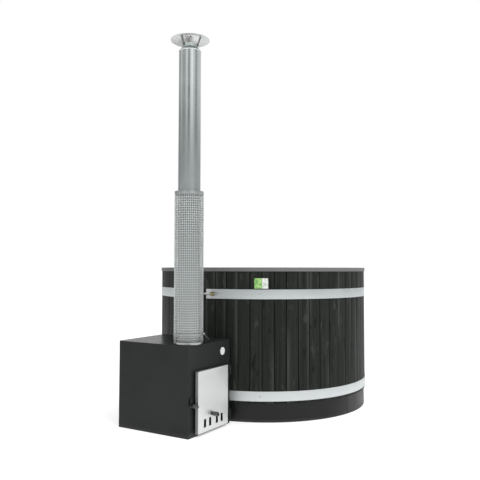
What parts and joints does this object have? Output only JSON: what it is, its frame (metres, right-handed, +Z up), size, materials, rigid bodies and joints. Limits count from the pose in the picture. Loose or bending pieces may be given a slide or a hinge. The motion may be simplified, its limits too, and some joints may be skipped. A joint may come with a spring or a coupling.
{
  "type": "hot tub",
  "caption": "Round wood-fired hot tub: dark staves, steel hoops, inner ring bench, outside heater box with hinged door and air slide, guarded flue and rain hat.",
  "frame": {"origin": "centre of the round tub on the ground, at the foot of the middle joist", "axes": "+Z up; the heater stands at -Y of the tub and its door faces +X"},
  "size_m": [1.6084, 2.1669, 2.5125],
  "materials": {
    "frame_wood": "sawn softwood, pressure treated",
    "board_wood": "plywood",
    "skirt_black": "satin black board",
    "foam": "rigid foam",
    "liner_grey": "smooth moulded plastic",
    "rim_grey": "satin moulded plastic",
    "stave_stain": "dark stain on planed softwood",
    "hoop_steel": "satin stainless band",
    "lug_steel": "satin stainless",
    "rod_steel": "bright zinc",
    "nut_brass": "yellow zinc",
    "screw_steel": "bright stainless",
    "bench_wood": "heat-treated wood, planed",
    "bench_frame_wood": "heat-treated wood, sawn",
    "fitting_steel": "brushed stainless",
    "pipe_grey": "smooth pipe plastic",
    "valve_grey": "moulded plastic",
    "lever_red": "moulded plastic",
    "casing_black": "satin black powder coat",
    "pan_black": "satin black powder coat",
    "jacket_steel": "mill finish stainless",
    "fire_steel": "heat-tinted steel with soot",
    "grate_iron": "raw casting",
    "ash_steel": "galvanised sheet",
    "gasket_rubber": "moulded",
    "plug_white": "moulded",
    "flue_steel": "bright drawn stainless",
    "guard_steel": "welded stainless wire",
    "clamp_steel": "satin stainless",
    "hat_steel": "spun stainless",
    "door_steel": "brushed stainless, grain level",
    "inner_steel": "mill finish stainless",
    "rope": "glass rope",
    "slider_steel": "brushed stainless",
    "grip_wire": "wound round wire",
    "latch_steel": "laser-cut stainless"
  },
  "bodies": {
    "tub": {"floor_joists": "frame_wood", "floor_board": "board_wood", "base_skirt": "skirt_black", "floor_insulation": "foam", "wall_insulation": "foam", "tub_liner": "liner_grey", "rim_cap": "rim_grey", "staves": "stave_stain", "upper_hoop": "hoop_steel", "lower_hoop": "hoop_steel", "hoop_lugs": "lug_steel", "clamp_rods": "rod_steel", "clamp_nuts": "nut_brass", "hoop_screws": "screw_steel", "bench_slats": "bench_wood", "bench_bearers": "bench_frame_wood", "bench_legs": "bench_frame_wood", "bench_brackets": "liner_grey", "drain_strainer": "fitting_steel", "drain_pipe": "pipe_grey", "valve_body": "valve_grey", "heater_casing": "casing_black", "front_panel": "casing_black", "top_plate": "casing_black", "base_pan": "pan_black", "water_jacket": "jacket_steel", "firebox": "fire_steel", "fire_baffle": "fire_steel", "fire_grate": "grate_iron", "ash_pan": "ash_steel", "water_pipes": "fitting_steel", "pipe_gaskets": "gasket_rubber", "pipe_flanges": "fitting_steel", "pipe_screens": "fitting_steel", "casing_plug": "plug_white", "flue_collar": "flue_steel", "lower_flue": "flue_steel", "upper_flue": "flue_steel", "guard_rings": "guard_steel", "guard_wires_upright": "guard_steel", "guard_bands": "guard_steel", "guard_standoffs": "guard_steel", "guard_clamp": "clamp_steel", "hat_collar": "flue_steel", "hat_legs": "lug_steel", "rain_hat": "hat_steel", "hinge_seats": "pan_black", "latch_keeper": "pan_black"},
    "door": {"door_hinges": "pan_black", "door_tray": "door_steel", "door_back": "inner_steel", "door_rope": "rope", "slider_rails": "inner_steel", "latch_pin": "latch_steel"},
    "slider": {"air_slider": "slider_steel", "slider_grip": "grip_wire"},
    "latch": {"latch_lever": "latch_steel", "latch_grip": "grip_wire"},
    "valve_handle": {"valve_lever": "lever_red"}
  },
  "joints": [
    {"name": "door_hinge", "type": "hinge", "parent": "tub", "child": "door", "pos_m": [0.22, -0.836, 0.2], "axis": [0, 0, 1], "range_deg": [0, 100]},
    {"name": "air_slide", "type": "slide", "parent": "door", "child": "slider", "axis": [0, 1, 0], "range_m": [0, 0.0275]},
    {"name": "latch_turn", "type": "hinge", "parent": "door", "child": "latch", "pos_m": [0.2085, -1.191, 0.192], "axis": [-1, 0, 0], "range_deg": [0, 18]},
    {"name": "valve_turn", "type": "hinge", "parent": "tub", "child": "valve_handle", "pos_m": [0.14, 0.8354, 0.095], "axis": [0, 0, 1], "range_deg": [0, 90]}
  ]
}
